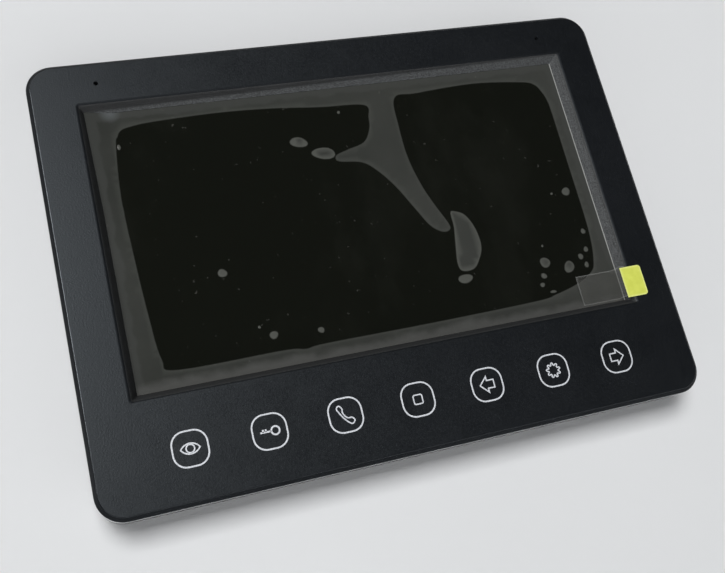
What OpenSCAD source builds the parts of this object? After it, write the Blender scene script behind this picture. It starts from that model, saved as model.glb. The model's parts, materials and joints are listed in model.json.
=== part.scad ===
// Wall-mounted hands-free video intercom monitor with a 7-inch display.
// X runs to the right along the panel, Z up, and Y from the viewer into the wall.
// The origin is the middle of the bracket's back face, which lies on the wall.
// Lengths are in millimetres.

/* [Casing] */
// Width of the front panel
panel_w = 188; // [184:1:200]
// Height of the front panel
panel_h = 136; // [134:1:146]
// Radius of the panel's corners
corner_r = 8; // [6:0.5:10]
// Chamfer around the panel's front edge
edge_c = 1.2; // [0.6:0.1:1.6]
// Depth of the casing, without the pads
body_d = 16; // [16:0.5:20]
// Gap that the pads leave between casing and wall
standoff = 1; // [1:0.1:1.4]
// Thickness of the side walls
wall = 2.2; // [1.8:0.1:2.6]
// Thickness of the fascia
face_t = 2.3; // [1.8:0.1:2.6]

/* [Display window] */
// Width of the window where it meets the display
window_w = 156.8; // [154:0.2:160]
// Height of the window where it meets the display
window_h = 87.2; // [86:0.2:90]
// Height of the window's middle above the panel's middle
window_z = 8.5; // [7:0.5:10]
// Depth of the display behind the fascia
window_d = 3.5; // [3:0.1:4]
// How much wider the window is on each side at the fascia
window_slope = 1.7; // [1:0.1:2]

/* [Touch keys] */
// Number of touch keys
key_n = 7; // [3:1:7]
// Distance between neighbouring keys
key_pitch = 22.3; // [20:0.1:23]
// Height of the keys' line, from the panel's middle
key_z = -52.6; // [-53:0.1:-52]

/* [Wall bracket] */
// Width of the bracket
bracket_w = 110; // [108:1:114]
// Height of the bracket
bracket_h = 98; // [96:1:99]
// Thickness of the bracket's sheet
bracket_t = 1.2; // [1:0.1:1.4]
// Distance between the two level wall screws
box_pitch_x = 60; // [58:0.5:62]
// Distance between the two upright wall screws
box_pitch_z = 83.5; // [82:0.5:85]
// How far the monitor lifts to come off the hooks
lift = 5; // [4.6:0.1:5]

/* [Hidden] */
$fn = 48;
eps = 0.01;
wire_sides = 8;
pair_gap = 1.4;
wire_r = 0.4;

// Planes along Y, from the fascia to the wall
front_y = -(body_d + standoff);
fascia_in_y = front_y + face_t;
screen_y = front_y + window_d;
split_y = front_y + 9;
rear_y = -standoff;
rear_t = 2.2;
rear_in_y = rear_y - rear_t;

// Casing details
cover_inset = 0.5;
cover_c = 1.6;
tongue_t = 1.2;
tongue_d = 1.5;
tongue_gap = 0.15;
rib_t = 2;
boss_r = 3.2;
cover_post_r = 3.9;
pilot_r = 1.1;
shank_gap = 0.02;
clear_r = 1.5;
head_r = 2.4;
head_h = 1.6;
sink_r = 2.9;
sink_d = 3.2;
corner_x = panel_w / 2 - 7.5;
corner_z = panel_h / 2 - 7.5;
mid_z = panel_h / 2 - 6;
COVER_SCREWS = [
    [-corner_x, -corner_z], [-corner_x, corner_z], [corner_x, -corner_z],
    [corner_x, corner_z], [0, -mid_z], [0, mid_z]
];

// Display module
lcd_w = 165;
lcd_h = 100;
lcd_z = window_z - 4;
glass_t = 1.4;
glass_y = screen_y + 0.1;
guide_t = 2;
tray_gap = 0.1;
tray_wall = 0.4;
tray_back_t = 0.5;
guide_y = glass_y + glass_t;
tray_in_y = guide_y + guide_t;
tray_y = tray_in_y + tray_back_t;
tray_depth = 3.5;
led_h = 1.5;
film_t = 0.15;
film_edge = 0.25;
film_y = glass_y - film_t;
clip_x = panel_w / 2 - 7;
CLIP_ZS = [-34, 48];
clip_t = 0.8;
clip_h = 10;

// Pull tab of the film, flat in front of the window's lower right edge, and its clear tape
tape_t = 0.06;
tape_x0 = 62.5;
tape_fold_x = 76.3;
tape_x1 = 79.3;
tape_z0 = -34.2;
tape_z1 = -24.4;
tab_t = 0.12;
tab_gap = 0.03;
tab_x0 = 77.4;
tab_x1 = 84.8;
tab_z0 = -34.9;
tab_z1 = -24.9;
tab_r = 1;
tab_y = front_y - tab_gap;

// Main board, with its parts on the side that faces the wall
board_x0 = -34;
board_x1 = 90.2;
board_z0 = -22;
board_z1 = 38;
board_t = 1.6;
board_y = split_y + board_t;
BOARD_POSTS = [[-30, -18], [-30, 34], [84, -18], [84, 34]];
post_r = 3;
post_pilot_r = 0.9;
board_hole_r = 1.3;
pan_r = 2;
pan_h = 1.1;

// Pocket in the cover for the cable plugs
pocket_w = 44;
pocket_z0 = -16;
pocket_z1 = 6;
header_z = -11.7;
header_d = 4.6;
header_h = 4.8;
header_wall = 0.7;
pin_pitch = 2;
pin_w = 0.5;
DOOR_HEADER_XS = [-12.5, 1.5];
POWER_HEADER_X = 15;

// Wall bracket hooks
hook_x = 46;
HOOK_ZS = [-24, 24];
hook_w = 9;
lip_h = 4;
lip_gap = 0.3;
hook_slot_w = hook_w + 1;
hook_slot_h = lift + bracket_t + lip_gap;
hook_rest_gap = 0.05;
lip_y = rear_in_y - lip_gap;
recess_d = 0.6;
recess_side = 1;
window_half = 23;
slot_r = 2.1;
slot_l = 8;

// Sound and light
mic_x = -73.8;
mic_z = 60.4;
mic_hole_r = 0.7;
capsule_r = 3;
boot_r = 4;
boot_y = -11.4;
lamp_x = 74.1;
lamp_z = 60.2;
lamp_hole_r = 0.5;
lamp_board_y = -12.3;
lamp_board_t = 1;
lamp_post_dx = 4.5;
pipe_sink = 1.3;
speaker_x = -71;
speaker_z = -50.5;
speaker_r = 13;
gasket_t = 0.7;
speaker_y = rear_in_y - gasket_t;
magnet_y = -9;
grille_bar = 1.6;
grille_pitch = 3.2;

// Touch board
touch_w = 160;
touch_h = 10.6;
touch_y = -12.6;
touch_t = 1.2;
touch_screw_x = 76;
electrode_r = 4.2;

// Controls reached from outside
side_x = panel_w / 2;
slider_z = -7;
slider_travel = 2.5;
knob_w = 3.6;
knob_y = -5;
knob_d = 2.4;
card_z = 10.5;
card_y = -5.5;
reset_x = 72;
reset_z = 14;
reset_hole_r = 1;
reset_travel = 0.3;
pad_r = 4;
pad_seat = 0.5;
PAD_SPOTS = [[-82, -28], [-82, 46], [82, -46], [82, 46]];

// A flat shape in X and Z, drawn out along Y from y0 to y1
module slab(y0, y1) {
    translate([0, y1, 0]) rotate([90, 0, 0]) linear_extrude(y1 - y0) children();
}

// A flat shape in Y and Z, drawn out along X from x0 to x1
module prism_x(x0, x1) {
    translate([x0, 0, 0]) rotate([90, 0, 90]) linear_extrude(x1 - x0) children();
}

// A flat shape in X and Y, drawn out along Z from z0 to z1
module prism_z(z0, z1) {
    translate([0, 0, z0]) linear_extrude(z1 - z0) children();
}

// A round bar along Y
module rod(x, z, r, y0, y1) {
    translate([x, y1, z]) rotate([90, 0, 0]) cylinder(r = r, h = y1 - y0);
}

// A tube along Y
module tube(x, z, r_out, r_in, y0, y1) {
    difference() {
        rod(x, z, r_out, y0, y1);
        rod(x, z, r_in, y0 - 1, y1 + 1);
    }
}

// A block between two corners
module block(low, high) {
    translate(low) cube(high - low);
}

module round_rect(w, h, r) {
    square([w - 2 * r, h], center = true);
    square([w, h - 2 * r], center = true);
    for (sx = [-1, 1], sz = [-1, 1])
        translate([sx * (w / 2 - r), sz * (h / 2 - r)]) circle(r);
}

// A rounded slab whose outline shrinks by c from y_wide to y_narrow
module bevel_slab(w, h, r, y_wide, y_narrow, c) {
    prism_x(-(w / 2 - r), w / 2 - r)
        polygon([[y_wide, -h / 2], [y_wide, h / 2], [y_narrow, h / 2 - c], [y_narrow, c - h / 2]]);
    prism_z(-(h / 2 - r), h / 2 - r)
        polygon([[-w / 2, y_wide], [w / 2, y_wide], [w / 2 - c, y_narrow], [c - w / 2, y_narrow]]);
    for (sx = [-1, 1], sz = [-1, 1])
        translate([sx * (w / 2 - r), y_wide, sz * (h / 2 - r)])
            rotate([y_narrow < y_wide ? 90 : -90, 0, 0])
                cylinder(r1 = r, r2 = r - c, h = abs(y_narrow - y_wide));
}

// A rectangular hole with sloping sides and sharp corners
module sloped_window(w, h, z, y_front, y_back, slope) {
    over = slope / (y_back - y_front);
    lead = 0.5;
    f = slope + over * lead;
    b = -over * lead;
    intersection() {
        prism_x(-w, w)
            polygon([
                [y_front - lead, z - h / 2 - f], [y_front - lead, z + h / 2 + f],
                [y_back + lead, z + h / 2 + b], [y_back + lead, z - h / 2 - b]
            ]);
        prism_z(z - h, z + h)
            polygon([
                [-w / 2 - f, y_front - lead], [w / 2 + f, y_front - lead],
                [w / 2 + b, y_back + lead], [-w / 2 - b, y_back + lead]
            ]);
    }
}

// A pan-head screw along Y, its head at y_head and its tip at y_tip
module screw(x, z, r_head, h_head, r_shank, y_head, y_tip) {
    toward = y_tip < y_head ? -1 : 1;
    y_top = y_head - toward * h_head;
    difference() {
        union() {
            rod(x, z, r_head, min(y_head, y_top), max(y_head, y_top));
            rod(x, z, r_shank, min(y_head, y_tip), max(y_head, y_tip));
        }
        for (turn = [0, 90])
            translate([x, y_top, z])
                rotate([0, turn, 0])
                    cube([r_head * 1.1, h_head * 0.9, 0.5], center = true);
    }
}

function unit(v) = v / norm(v);

// Direction of a route at its point i
function heading(route, i) = unit(route[min(i + 1, len(route) - 1)] - route[max(i - 1, 0)]);

// Points around the route's point i
function ring(route, i, r) =
    let (t = heading(route, i), u = unit(cross(t, [0, 1, 0])), v = cross(t, u))
    [for (k = [0:wire_sides - 1])
        route[i] + r * (cos(360 * k / wire_sides) * u + sin(360 * k / wire_sides) * v)];

// A round wire swept along a route
module wire(route, r) {
    n = wire_sides;
    last = len(route) - 1;
    polyhedron(
        points = [for (i = [0:last]) each ring(route, i, r)],
        faces = [
            [for (k = [n - 1:-1:0]) k],
            for (i = [0:last - 1], k = [0:n - 1])
                [i * n + k, i * n + (k + 1) % n, (i + 1) * n + (k + 1) % n, (i + 1) * n + k],
            [for (k = [0:n - 1]) last * n + k]
        ]
    );
}

module front_panel() {
    color([0.11, 0.115, 0.13])
    difference() {
        union() {
            difference() {
                union() {
                    bevel_slab(panel_w, panel_h, corner_r, front_y + edge_c, front_y, edge_c);
                    slab(front_y + edge_c, split_y) round_rect(panel_w, panel_h, corner_r);
                }
                slab(fascia_in_y, split_y + 1)
                    round_rect(panel_w - 2 * wall, panel_h - 2 * wall, corner_r - wall);
            }
            slab(fascia_in_y - eps, screen_y)
                translate([0, window_z])
                    square([window_w + 2 * rib_t, window_h + 2 * rib_t], center = true);
            for (p = COVER_SCREWS)
                rod(p.x, p.y, boss_r, fascia_in_y - eps, split_y - 0.2);
            for (sx = [-1, 1], z = CLIP_ZS)
                rod(sx * clip_x, z, boss_r, fascia_in_y - eps, tray_y);
            for (sx = [-1, 1])
                rod(sx * touch_screw_x, key_z, 2, fascia_in_y - eps, touch_y);
            for (sx = [-1, 1])
                rod(lamp_x + sx * lamp_post_dx, lamp_z, 1.4, fascia_in_y - eps, lamp_board_y);
            tube(mic_x, mic_z, boot_r + 0.9, boot_r + 0.1, fascia_in_y - eps, -12.2);
        }
        sloped_window(window_w, window_h, window_z, front_y, screen_y, window_slope);
        for (p = COVER_SCREWS)
            rod(p.x, p.y, pilot_r, fascia_in_y + 0.5, split_y);
        for (sx = [-1, 1], z = CLIP_ZS)
            rod(sx * clip_x, z, post_pilot_r, fascia_in_y + 0.5, tray_y + 1);
        for (sx = [-1, 1])
            rod(sx * touch_screw_x, key_z, post_pilot_r, front_y + 1.2, touch_y + 1);
        rod(mic_x, mic_z, mic_hole_r, front_y - 1, fascia_in_y + 1);
        rod(lamp_x, lamp_z, lamp_hole_r, front_y - 1, fascia_in_y + 1);
    }
}

// Everything that the rear cover is cut away by
module cover_cuts() {
    // Seat of the bracket, long enough below it for the lift
    slab(rear_y - recess_d, rear_y + 1)
        translate([0, -lift / 2])
            round_rect(bracket_w + 2 * recess_side, bracket_h + lift + 2 * recess_side, 5);
    for (sx = [-1, 1], z = HOOK_ZS)
        block([sx * hook_x - hook_slot_w / 2, rear_in_y - 1, z + hook_rest_gap - hook_slot_h],
              [sx * hook_x + hook_slot_w / 2, rear_y + 1, z + hook_rest_gap]);
    block([-pocket_w / 2, rear_in_y - 1, pocket_z0], [pocket_w / 2, rear_y + 1, pocket_z1]);
    for (p = COVER_SCREWS) {
        rod(p.x, p.y, sink_r, rear_y - sink_d, rear_y + 1);
        rod(p.x, p.y, clear_r, split_y - 1, rear_y);
    }
    for (p = PAD_SPOTS)
        rod(p.x, p.y, pad_r + 0.2, rear_y - pad_seat, rear_y + 1);
    // Sound slots
    slab(rear_in_y - 1, rear_y + 1)
        intersection() {
            translate([speaker_x, speaker_z]) circle(speaker_r - 2.5);
            for (i = [-3:3])
                translate([speaker_x, speaker_z + i * grille_pitch])
                    square([2 * speaker_r, grille_bar], center = true);
        }
    // Air slots along the top
    slab(rear_in_y - 1, rear_y + 1)
        for (sx = [-1, 1], i = [0:7])
            translate([sx * (14 + 4 * i), panel_h / 2 - 11]) square([1.8, 9], center = true);
    rod(reset_x, reset_z, reset_hole_r, rear_in_y - 1, rear_y + 1);
    // Card slot and switch slot in the right side
    block([side_x - 6, card_y - 0.9, card_z - 6.2], [side_x + 1, card_y + 0.9, card_z + 6.2]);
    block([side_x - 6, knob_y - knob_d / 2 - 0.2, slider_z - knob_w / 2 - 0.3],
          [side_x + 1, knob_y + knob_d / 2 + 0.2, slider_z + knob_w / 2 + slider_travel + 0.3]);
}

module rear_cover() {
    w = panel_w - 2 * cover_inset;
    h = panel_h - 2 * cover_inset;
    r = corner_r - cover_inset;
    inner_wall = wall - cover_inset;
    lip_w = panel_w - 2 * wall - 2 * tongue_gap;
    lip_hh = panel_h - 2 * wall - 2 * tongue_gap;
    lip_r = corner_r - wall - tongue_gap;
    color([0.09, 0.09, 0.1])
    difference() {
        union() {
            difference() {
                union() {
                    slab(split_y, rear_y - cover_c) round_rect(w, h, r);
                    bevel_slab(w, h, r, rear_y - cover_c, rear_y, cover_c);
                }
                slab(split_y - 1, rear_in_y)
                    round_rect(w - 2 * inner_wall, h - 2 * inner_wall, r - inner_wall);
            }
            slab(split_y - tongue_d, split_y + 1)
                difference() {
                    round_rect(lip_w, lip_hh, lip_r);
                    round_rect(lip_w - 2 * tongue_t, lip_hh - 2 * tongue_t, lip_r - tongue_t);
                    for (p = COVER_SCREWS)
                        translate(p) circle(boss_r + 0.3);
                }
            for (p = COVER_SCREWS)
                rod(p.x, p.y, cover_post_r, split_y, rear_in_y + eps);
            for (p = BOARD_POSTS)
                rod(p.x, p.y, post_r, board_y, rear_in_y + eps);
            tube(speaker_x, speaker_z, speaker_r + 1.2, speaker_r + 0.2, -6, rear_in_y + eps);
        }
        cover_cuts();
        for (p = BOARD_POSTS)
            rod(p.x, p.y, post_pilot_r, board_y - 1, rear_in_y + 0.4);
    }
}

module wall_bracket() {
    color([0.62, 0.63, 0.65])
    union() {
        slab(-bracket_t, 0)
            difference() {
                round_rect(bracket_w, bracket_h, 5);
                round_rect(2 * window_half, 2 * window_half, 4);
                for (sx = [-1, 1])
                    translate([sx * box_pitch_x / 2, 0]) {
                        square([slot_l - 2 * slot_r, 2 * slot_r], center = true);
                        for (ex = [-1, 1])
                            translate([ex * (slot_l / 2 - slot_r), 0]) circle(slot_r);
                    }
                for (sz = [-1, 1])
                    translate([0, sz * box_pitch_z / 2]) circle(slot_r);
                for (sx = [-1, 1], z = HOOK_ZS)
                    translate([sx * hook_x, z + (lip_h + 2.2) / 2])
                        square([hook_w + 0.6, lip_h + 2.2], center = true);
            }
        for (sx = [-1, 1], z = HOOK_ZS) {
            x0 = sx * hook_x - hook_w / 2;
            x1 = sx * hook_x + hook_w / 2;
            block([x0, lip_y - bracket_t, z - bracket_t], [x1, -bracket_t + eps, z]);
            block([x0, lip_y - bracket_t, z - bracket_t], [x1, lip_y, z + lip_h]);
        }
    }
}

module protective_film() {
    color([0.24, 0.25, 0.23, 0.6])
    slab(film_y, glass_y)
        translate([0, window_z])
            square([window_w - 2 * film_edge, window_h - 2 * film_edge], center = true);
}

// The tape lies on the film and rises at its end to the back of the tab
module tab_tape() {
    color([0.8, 0.82, 0.78, 0.4])
    prism_z(tape_z0, tape_z1)
        polygon([
            [tape_x0, film_y], [tape_fold_x, film_y], [tab_x0 + 0.4, tab_y + tape_t],
            [tape_x1, tab_y + tape_t], [tape_x1, tab_y], [tab_x0 + 0.36, tab_y],
            [tape_fold_x - 0.04, film_y - tape_t], [tape_x0, film_y - tape_t]
        ]);
}

module pull_tab() {
    color([0.78, 0.83, 0.35])
    slab(tab_y - tab_t, tab_y)
        union() {
            translate([tab_x0, tab_z0]) square([tab_x1 - tab_x0 - tab_r, tab_z1 - tab_z0]);
            translate([tab_x0, tab_z0 + tab_r]) square([tab_x1 - tab_x0, tab_z1 - tab_z0 - 2 * tab_r]);
            for (z = [tab_z0 + tab_r, tab_z1 - tab_r])
                translate([tab_x1 - tab_r, z]) circle(tab_r);
        }
}

module lcd_glass() {
    color([0.03, 0.035, 0.03])
    slab(glass_y, glass_y + glass_t) translate([0, lcd_z]) square([lcd_w, lcd_h], center = true);
}

module light_guide() {
    color([0.85, 0.88, 0.9])
    block([-lcd_w / 2 + 0.2, guide_y, lcd_z - lcd_h / 2 + led_h + 0.4],
          [lcd_w / 2 - 0.2, tray_in_y, lcd_z + lcd_h / 2 - 0.2]);
}

module backlight_leds() {
    led_n = 21;
    led_pitch = 7;
    color([0.95, 0.93, 0.8])
    for (i = [0:led_n - 1])
        translate([(i - (led_n - 1) / 2) * led_pitch, 0, 0])
            block([-1.9, guide_y + 0.3, lcd_z - lcd_h / 2 + 0.1],
                  [1.9, tray_in_y - 0.1, lcd_z - lcd_h / 2 + 0.1 + led_h]);
}

module backlight_tray() {
    color([0.7, 0.71, 0.72])
    translate([0, 0, lcd_z])
    difference() {
        slab(tray_y - tray_depth, tray_y)
            square([lcd_w + 2 * (tray_gap + tray_wall), lcd_h + 2 * (tray_gap + tray_wall)], center = true);
        slab(tray_y - tray_depth - 1, tray_in_y)
            square([lcd_w + 2 * tray_gap, lcd_h + 2 * tray_gap], center = true);
        // The flex leaves the glass through a notch in the lower wall
        block([53, tray_y - tray_depth - 1, -lcd_h / 2 - 1], [77, tray_in_y, -lcd_h / 2 + 0.5]);
    }
}

module lcd_clips() {
    reach = 7.5;
    color([0.72, 0.73, 0.74])
    for (sx = [-1, 1], z = CLIP_ZS)
        difference() {
            block([min(sx * (clip_x + 3.4), sx * (clip_x - reach)), tray_y, z - clip_h / 2],
                  [max(sx * (clip_x + 3.4), sx * (clip_x - reach)), tray_y + clip_t, z + clip_h / 2]);
            rod(sx * clip_x, z, board_hole_r, tray_y - 1, tray_y + 2);
        }
}

module clip_screws() {
    color([0.55, 0.56, 0.58])
    for (sx = [-1, 1], z = CLIP_ZS)
        screw(sx * clip_x, z, pan_r, pan_h, post_pilot_r - shank_gap, tray_y + clip_t, tray_y - 4);
}

// A flat flexible strip along a path in Y and Z, t thick
module strip(x0, x1, path, t) {
    prism_x(x0, x1)
        union() {
            for (i = [0:len(path) - 2]) {
                run = path[i + 1] - path[i];
                translate(path[i])
                    rotate(atan2(run.y, run.x))
                        translate([0, -t / 2]) square([norm(run), t]);
            }
            for (p = path)
                translate(p) circle(t / 2, $fn = 16);
        }
}

module lcd_flex() {
    low_z = lcd_z - lcd_h / 2;
    color([0.75, 0.5, 0.2])
    strip(54, 76, [
        [glass_y + glass_t + 0.15, low_z + 0.2], [glass_y + glass_t + 0.15, low_z - 0.6],
        [glass_y + glass_t + 0.55, low_z - 0.95], [tray_y - 0.2, low_z - 0.95],
        [tray_y + 0.6, low_z - 0.4], [tray_y + 0.6, board_z0 - 3], [board_y + 0.5, board_z0 - 1.2],
        [board_y + 0.9, board_z0 + 1.9]
    ], 0.24);
}

module main_board() {
    color([0.06, 0.3, 0.14])
    difference() {
        block([board_x0, split_y, board_z0], [board_x1, board_y, board_z1]);
        for (p = BOARD_POSTS)
            rod(p.x, p.y, board_hole_r, split_y - 1, board_y + 1);
    }
}

// A part that stands on the main board's back face
module on_board(x, z, w, h, d) {
    block([x - w / 2, board_y, z - h / 2], [x + w / 2, board_y + d, z + h / 2]);
}

module processor() {
    color([0.08, 0.08, 0.09]) {
        on_board(2, 22, 12, 12, 1.3);
        for (i = [-8:8], s = [-1, 1]) {
            on_board(2 + i * 0.65, 22 + s * 6.7, 0.3, 1.4, 0.3);
            on_board(2 + s * 6.7, 22 + i * 0.65, 1.4, 0.3, 0.3);
        }
    }
}

module memory_chip() {
    color([0.09, 0.09, 0.1]) {
        on_board(20, 22, 10, 6, 1.1);
        for (i = [-3:3], s = [-1, 1])
            on_board(20 + i * 1.27, 22 + s * 3.6, 0.4, 1.2, 0.3);
    }
}

module shield_can() {
    color([0.74, 0.75, 0.76])
    difference() {
        on_board(-20, 20, 18, 14, 2.4);
        on_board(-20, 20, 17.4, 13.4, 2.1);
    }
}

module inductors() {
    color([0.2, 0.2, 0.21])
    for (z = [-10, 0])
        difference() {
            on_board(32, z, 7, 7, 2.9);
            tube(32, z, 2.9, 2.2, board_y + 2.5, board_y + 3);
        }
}

module capacitors() {
    color([0.76, 0.77, 0.79])
    for (x = [59, 66.5, 74]) {
        on_board(x, -5, 5.6, 5.6, 0.6);
        rod(x, -5, 2.6, board_y + 0.5, board_y + 2.9);
    }
}

module cell_holder() {
    color([0.12, 0.12, 0.13])
    difference() {
        rod(62, 27, 7.4, board_y, board_y + 2.6);
        rod(62, 27, 6.35, board_y + 0.5, board_y + 3);
        block([60, board_y + 0.5, 27], [64, board_y + 3, 36]);
    }
}

module coin_cell() {
    color([0.8, 0.81, 0.82])
    union() {
        rod(62, 27, 5.6, board_y + 0.5, board_y + 0.9);
        rod(62, 27, 6.25, board_y + 0.9, board_y + 2.5);
    }
}

module lcd_connector() {
    color([0.85, 0.83, 0.76])
    difference() {
        on_board(65, -17.4, 25, 4.6, 2);
        block([53.8, board_y + 0.6, -20], [76.2, board_y + 1.2, -17]);
    }
}

module board_screws() {
    color([0.55, 0.56, 0.58])
    for (p = BOARD_POSTS)
        screw(p.x, p.y, pan_r, pan_h, post_pilot_r - shank_gap, split_y, rear_in_y - 0.4);
}

// A shrouded plug header with its mouth towards the wall
module header(x, pins) {
    w = pin_pitch * (pins - 1) + 3.9;
    difference() {
        on_board(x, header_z, w, header_d, header_h);
        block([x - w / 2 + header_wall, board_y + 1.4, header_z - header_d / 2 + header_wall],
              [x + w / 2 - header_wall, board_y + header_h + 1, header_z + header_d / 2 - header_wall]);
        for (sx = [-1, 1])
            block([x + sx * (w / 2 - 2) - 0.5, board_y + 2.4, header_z + header_d / 2 - 1],
                  [x + sx * (w / 2 - 2) + 0.5, board_y + header_h + 1, header_z + header_d / 2 + 1]);
        for (i = [0:pins - 1])
            block([x + (i - (pins - 1) / 2) * pin_pitch - pin_w / 2, board_y - 1, header_z - pin_w / 2],
                  [x + (i - (pins - 1) / 2) * pin_pitch + pin_w / 2, board_y + 2, header_z + pin_w / 2]);
    }
}

module door_headers() {
    color([0.9, 0.89, 0.84])
    for (x = DOOR_HEADER_XS)
        header(x, 4);
}

module power_header() {
    color([0.75, 0.16, 0.12]) header(POWER_HEADER_X, 2);
}

module pin_row(x, pins) {
    for (i = [0:pins - 1])
        block([x + (i - (pins - 1) / 2) * pin_pitch - pin_w / 2, board_y, header_z - pin_w / 2],
              [x + (i - (pins - 1) / 2) * pin_pitch + pin_w / 2, board_y + 4.2, header_z + pin_w / 2]);
}

module header_pins() {
    color([0.82, 0.7, 0.35]) {
        for (x = DOOR_HEADER_XS)
            pin_row(x, 4);
        pin_row(POWER_HEADER_X, 2);
    }
}

module sd_socket() {
    color([0.78, 0.79, 0.8])
    difference() {
        block([75.6, board_y, card_z - 7], [90.4, board_y + 1.9, card_z + 7]);
        block([78, board_y + 0.4, card_z - 5.6], [91, board_y + 1.4, card_z + 5.6]);
    }
}

module switch_body() {
    y1 = knob_y + knob_d / 2 + 0.5;
    color([0.14, 0.14, 0.15])
    difference() {
        block([84.6, board_y, slider_z - 4], [90.2, y1, slider_z + 5.5]);
        block([86, knob_y - 0.9, slider_z - knob_w / 2 - 0.3],
              [91, knob_y + 0.9, slider_z + knob_w / 2 + slider_travel + 0.3]);
    }
}

module power_slider() {
    color([0.2, 0.2, 0.21])
    union() {
        block([86.3, knob_y - 0.8, slider_z - knob_w / 2], [90.7, knob_y + 0.8, slider_z + knob_w / 2]);
        block([90.7, knob_y - knob_d / 2, slider_z - knob_w / 2],
              [side_x - 0.7, knob_y + knob_d / 2, slider_z + knob_w / 2]);
        for (i = [-1:1])
            block([side_x - 0.7 - eps, knob_y - knob_d / 2, slider_z + i * 1.2 - 0.25],
                  [side_x - 0.5, knob_y + knob_d / 2, slider_z + i * 1.2 + 0.25]);
    }
}

module reset_switch() {
    color([0.7, 0.71, 0.72])
    difference() {
        on_board(reset_x, reset_z, 4, 4, 1.5);
        rod(reset_x, reset_z, 0.95, board_y + 0.7, board_y + 3);
    }
}

module reset_plunger() {
    color([0.1, 0.1, 0.1])
    rod(reset_x, reset_z, 0.9, board_y + 0.7 + reset_travel + 0.1, board_y + 2.3);
}

module touch_board() {
    color([0.05, 0.05, 0.06])
    difference() {
        block([-touch_w / 2, touch_y, key_z - touch_h / 2],
              [touch_w / 2, touch_y + touch_t, key_z + touch_h / 2]);
        for (sx = [-1, 1])
            rod(sx * touch_screw_x, key_z, board_hole_r, touch_y - 1, touch_y + 2);
    }
}

module touch_electrodes() {
    color([0.25, 0.25, 0.26])
    for (i = [0:key_n - 1])
        tube((i - (key_n - 1) / 2) * key_pitch, key_z, electrode_r, electrode_r - 1.2,
             fascia_in_y, touch_y);
}

module key_leds() {
    color([0.93, 0.93, 0.86])
    for (i = [0:key_n - 1])
        translate([(i - (key_n - 1) / 2) * key_pitch, 0, key_z])
            block([-0.8, touch_y - 0.6, -0.4], [0.8, touch_y, 0.4]);
}

module touch_controller() {
    color([0.08, 0.08, 0.09])
    block([-2.5, touch_y + touch_t, key_z - 2.5], [2.5, touch_y + touch_t + 0.9, key_z + 2.5]);
}

module touch_ribbon() {
    start_y = touch_y + touch_t + 0.15;
    color([0.8, 0.78, 0.72])
    strip(28, 36, [
        [start_y, key_z - 2], [start_y, key_z + 3.4], [tray_y - 0.2, lcd_z - lcd_h / 2 - 2.2],
        [tray_y + 0.6, lcd_z - lcd_h / 2 - 1], [tray_y + 0.6, board_z0 - 3],
        [board_y + 0.4, board_z0 - 1.2], [board_y + 0.4, board_z0 + 3]
    ], 0.24);
}

module touch_screws() {
    color([0.55, 0.56, 0.58])
    for (sx = [-1, 1])
        screw(sx * touch_screw_x, key_z, pan_r, pan_h, post_pilot_r - shank_gap, touch_y + touch_t, -15.2);
}

module mic_capsule() {
    color([0.8, 0.8, 0.78])
    rod(mic_x, mic_z, capsule_r, fascia_in_y + 0.6, boot_y);
}

module mic_boot() {
    color([0.1, 0.1, 0.1])
    difference() {
        rod(mic_x, mic_z, boot_r, fascia_in_y, boot_y);
        rod(mic_x, mic_z, capsule_r, fascia_in_y + 0.6, boot_y + 1);
        rod(mic_x, mic_z, 0.8, fascia_in_y - 1, fascia_in_y + 1);
    }
}

// Two wires side by side, set apart across their route
module pair(route, across, r) {
    for (s = [-1, 1])
        wire([for (p = route) p + s * pair_gap / 2 * unit(across)], r);
}

module mic_wires() {
    color([0.15, 0.15, 0.16])
    pair([
        [mic_x, boot_y + 0.5, mic_z], [-66, -8.5, 59], [-38, -5.6, 58], [-29, -5.6, 50],
        [-22, -5.6, 36.5]
    ], [1, 0, 1], wire_r);
}

module light_pipe() {
    color([0.9, 0.92, 0.95, 0.6])
    union() {
        rod(lamp_x, lamp_z, lamp_hole_r - 0.02, front_y + pipe_sink, fascia_in_y + eps);
        rod(lamp_x, lamp_z, 2, fascia_in_y, fascia_in_y + 1.5);
    }
}

module status_led() {
    color([0.95, 0.9, 0.6])
    block([lamp_x - 0.8, lamp_board_y - 0.8, lamp_z - 0.4], [lamp_x + 0.8, lamp_board_y, lamp_z + 0.4]);
}

module led_board() {
    color([0.06, 0.3, 0.14])
    block([lamp_x - 6, lamp_board_y, lamp_z - 2.5],
          [lamp_x + 6, lamp_board_y + lamp_board_t, lamp_z + 2.5]);
}

module led_wires() {
    color([0.6, 0.12, 0.1])
    pair([
        [lamp_x, lamp_board_y + lamp_board_t + 0.5, lamp_z], [66, -8.5, 58.6], [40, -5.6, 52],
        [28, -5.6, 36]
    ], [1, 0, -1], wire_r);
}

module speaker_frame() {
    rim_t = 1;
    color([0.3, 0.3, 0.31])
    difference() {
        union() {
            rod(speaker_x, speaker_z, speaker_r, speaker_y - rim_t, speaker_y);
            translate([speaker_x, speaker_y - rim_t, speaker_z])
                rotate([90, 0, 0]) cylinder(r1 = speaker_r - 1.5, r2 = 8.6, h = 2.2);
        }
        translate([speaker_x, speaker_y + eps, speaker_z])
            rotate([90, 0, 0]) cylinder(r1 = speaker_r - 1.6, r2 = 7.2, h = 2.6);
        rod(speaker_x, speaker_z, 5.2, -8, speaker_y);
    }
}

module speaker_cone() {
    color([0.13, 0.13, 0.14])
    translate([speaker_x, speaker_y - 0.2, speaker_z])
        rotate([90, 0, 0])
            difference() {
                union() {
                    cylinder(r1 = speaker_r - 2.4, r2 = 4.6, h = 2.1);
                    cylinder(r = 4.6, h = 3);
                }
                translate([0, 0, -eps]) cylinder(r1 = speaker_r - 3.2, r2 = 3.8, h = 1.9);
            }
}

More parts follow.
